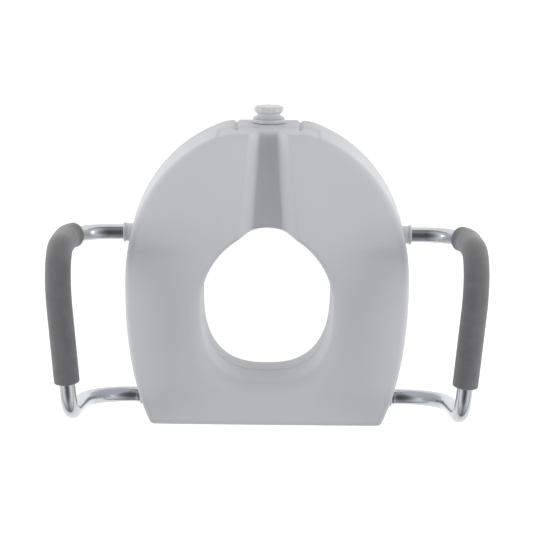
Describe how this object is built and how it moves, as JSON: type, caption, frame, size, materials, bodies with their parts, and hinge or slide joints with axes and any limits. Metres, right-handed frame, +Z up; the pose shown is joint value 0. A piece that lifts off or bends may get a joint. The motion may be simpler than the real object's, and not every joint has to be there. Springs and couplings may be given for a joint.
{
  "type": "raised toilet seat",
  "caption": "White hollow-moulded raised toilet seat with a front screw lock, an open hygiene recess and removable tubular arms with foam grips.",
  "frame": {"origin": "middle of the whole object's plan, on the surface that the skirt's lower edge stands on", "axes": "+Z up as the seat is used, -Y towards the front with the lock knob, +X towards the sitter's left arm"},
  "size_m": [0.6112, 0.4503, 0.2788],
  "materials": {
    "moulded_white": "soft semi-gloss blow-moulded polyethylene",
    "white_fittings": "smooth moulded white plastic",
    "lock_white": "smooth moulded white plastic",
    "aluminium_tube": "satin anodised",
    "grey_foam": "closed-cell foam, matt",
    "black_rubber": "matt",
    "zinc_steel": "zinc plated",
    "spring_steel": "bare spring steel",
    "grey_plastic": "moulded"
  },
  "bodies": {
    "root": {"seat_body": "moulded_white", "lock_rosette": "lock_white", "tail_bearing": "white_fittings", "rear_hook_left": "white_fittings", "rear_hook_right": "white_fittings", "hook_screws": "zinc_steel", "base_pads": "black_rubber", "bushing_front_left": "white_fittings", "bushing_front_right": "white_fittings", "bushing_rear_left": "white_fittings", "bushing_rear_right": "white_fittings"},
    "lock_screw": {"lock_knob": "lock_white", "worm_screw": "zinc_steel", "knob_pin": "zinc_steel", "thrust_washer": "zinc_steel", "retaining_clip": "spring_steel"},
    "clamp": {"clamp_carriage": "white_fittings", "locking_plate": "zinc_steel", "plate_screws": "zinc_steel", "clamp_pad": "black_rubber"},
    "arm_left": {"arm_tube_left": "aluminium_tube", "arm_grip_left": "grey_foam", "arm_end_plugs_left": "grey_plastic", "snap_spring_left": "spring_steel"},
    "button_left": {"snap_button_left": "zinc_steel"},
    "arm_right": {"arm_tube_right": "aluminium_tube", "arm_grip_right": "grey_foam", "arm_end_plugs_right": "grey_plastic", "snap_spring_right": "spring_steel"},
    "button_right": {"snap_button_right": "zinc_steel"}
  },
  "joints": [
    {"name": "knob_turn", "type": "hinge", "parent": "root", "child": "lock_screw", "pos_m": [0, -0.2, 0.045], "axis": [0, 1, 0], "range_deg": [-360, 1080]},
    {"name": "clamp_slide", "type": "slide", "parent": "root", "child": "clamp", "axis": [0, 1, 0], "range_m": [-0.0241, 0.0081]},
    {"name": "arm_left_pull", "type": "slide", "parent": "root", "child": "arm_left", "axis": [1, 0, 0], "range_m": [0, 0.085], "deforming": ["snap_button_left", "snap_spring_left"]},
    {"name": "button_left_press", "type": "slide", "parent": "arm_left", "child": "button_left", "axis": [0, 0, 1], "range_m": [0, 0.0046], "stiffness_N_per_m": 400, "springref_m": -0.001, "deforming": ["snap_spring_left"]},
    {"name": "arm_right_pull", "type": "slide", "parent": "root", "child": "arm_right", "axis": [-1, 0, 0], "range_m": [0, 0.085], "deforming": ["snap_button_right", "snap_spring_right"]},
    {"name": "button_right_press", "type": "slide", "parent": "arm_right", "child": "button_right", "axis": [0, 0, 1], "range_m": [0, 0.0046], "stiffness_N_per_m": 400, "springref_m": -0.001, "deforming": ["snap_spring_right"]}
  ],
  "couplings": [
    {"joint": "clamp_slide", "follows": "knob_turn", "m_per_rad": -0.0012732}
  ]
}
